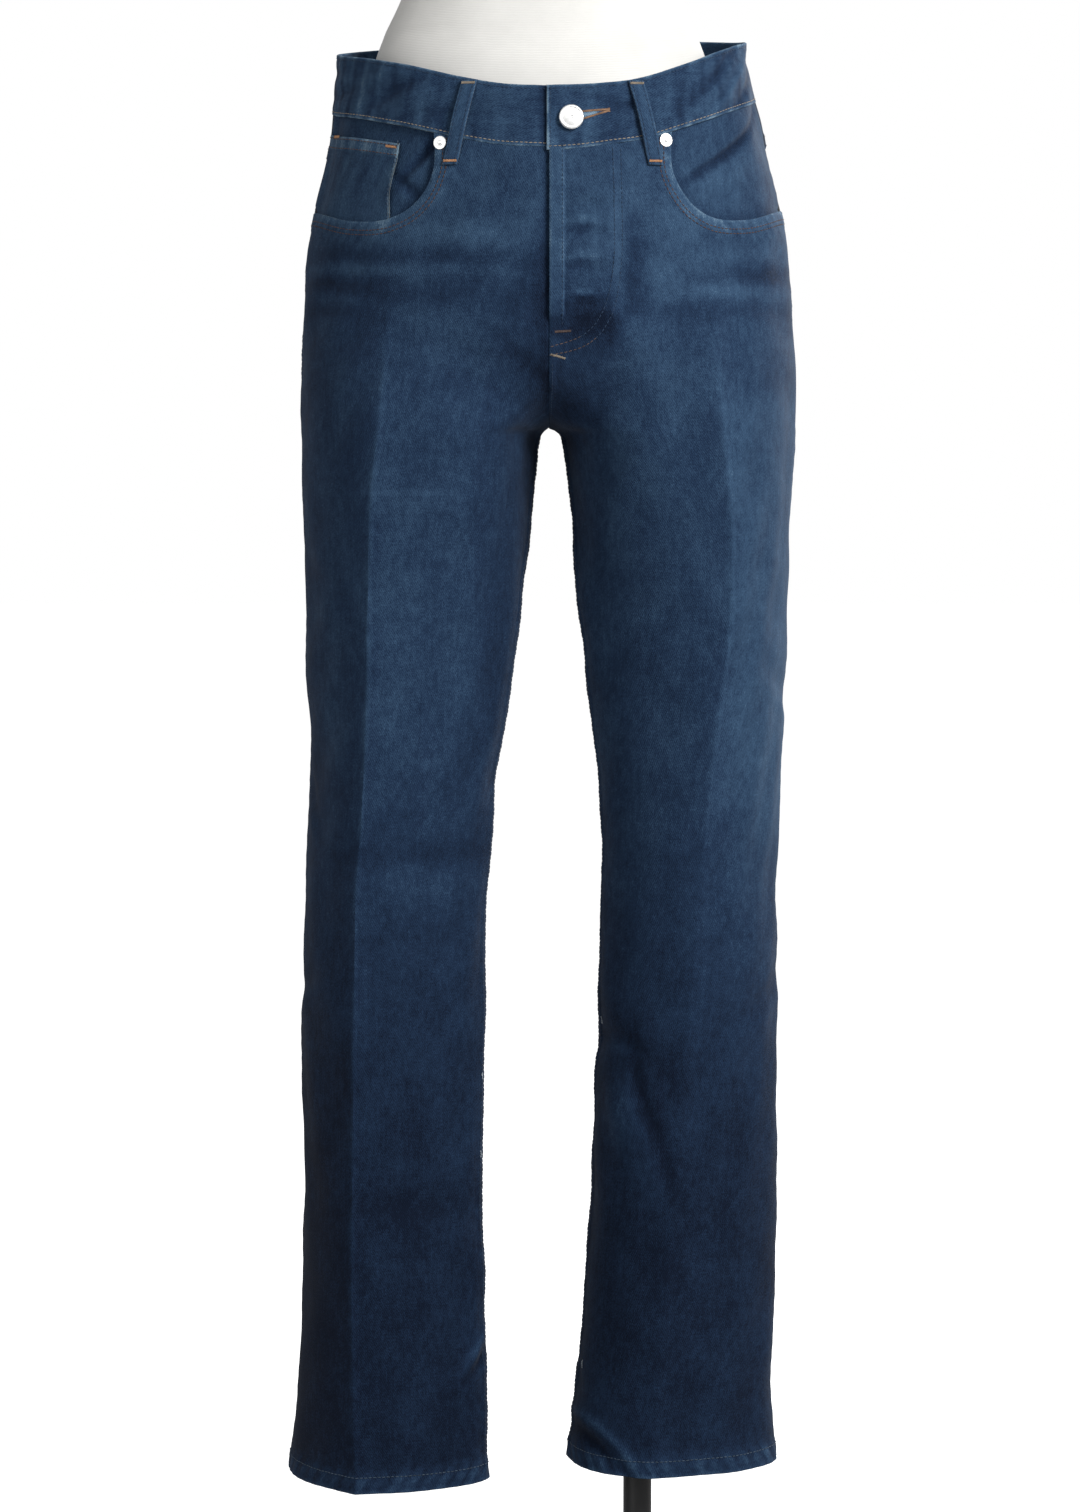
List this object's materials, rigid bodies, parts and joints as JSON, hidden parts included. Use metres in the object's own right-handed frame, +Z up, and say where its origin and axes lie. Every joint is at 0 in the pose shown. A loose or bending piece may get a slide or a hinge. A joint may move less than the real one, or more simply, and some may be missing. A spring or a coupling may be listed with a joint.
{
  "type": "straight leg jeans on a trouser form stand",
  "caption": "Straight leg denim jeans filled out on a smooth limbless trouser form, carried by a pole through one leg on a round base.",
  "frame": {"origin": "centre of the round base's underside, on the floor", "axes": "+Z up, the front of the jeans faces -Y, +X is the wearer's left"},
  "size_m": [0.4, 0.4, 1.217],
  "materials": {
    "denim": "dark indigo right-hand twill, lightly faded at the hips and creases",
    "nickel": "satin nickel plate",
    "form_jersey": "smooth off-white jersey over foam",
    "black_steel": "satin black powder coat"
  },
  "bodies": {
    "root": {"front_panel_right": "denim", "front_panel_left": "denim", "back_panel_right": "denim", "back_panel_left": "denim", "back_yoke_right": "denim", "back_yoke_left": "denim", "waistband": "denim", "belt_loop_front_right": "denim", "belt_loop_front_left": "denim", "belt_loop_side_right": "denim", "belt_loop_side_left": "denim", "belt_loop_centre_back": "denim", "pocket_facing_right": "denim", "pocket_facing_left": "denim", "coin_pocket": "denim", "back_pocket_right": "denim", "back_pocket_left": "denim", "rivet_right": "nickel", "rivet_left": "nickel", "shank_button": "nickel", "trouser_form": "form_jersey", "stand_pole": "black_steel", "stand_base": "black_steel"}
  },
  "joints": []
}
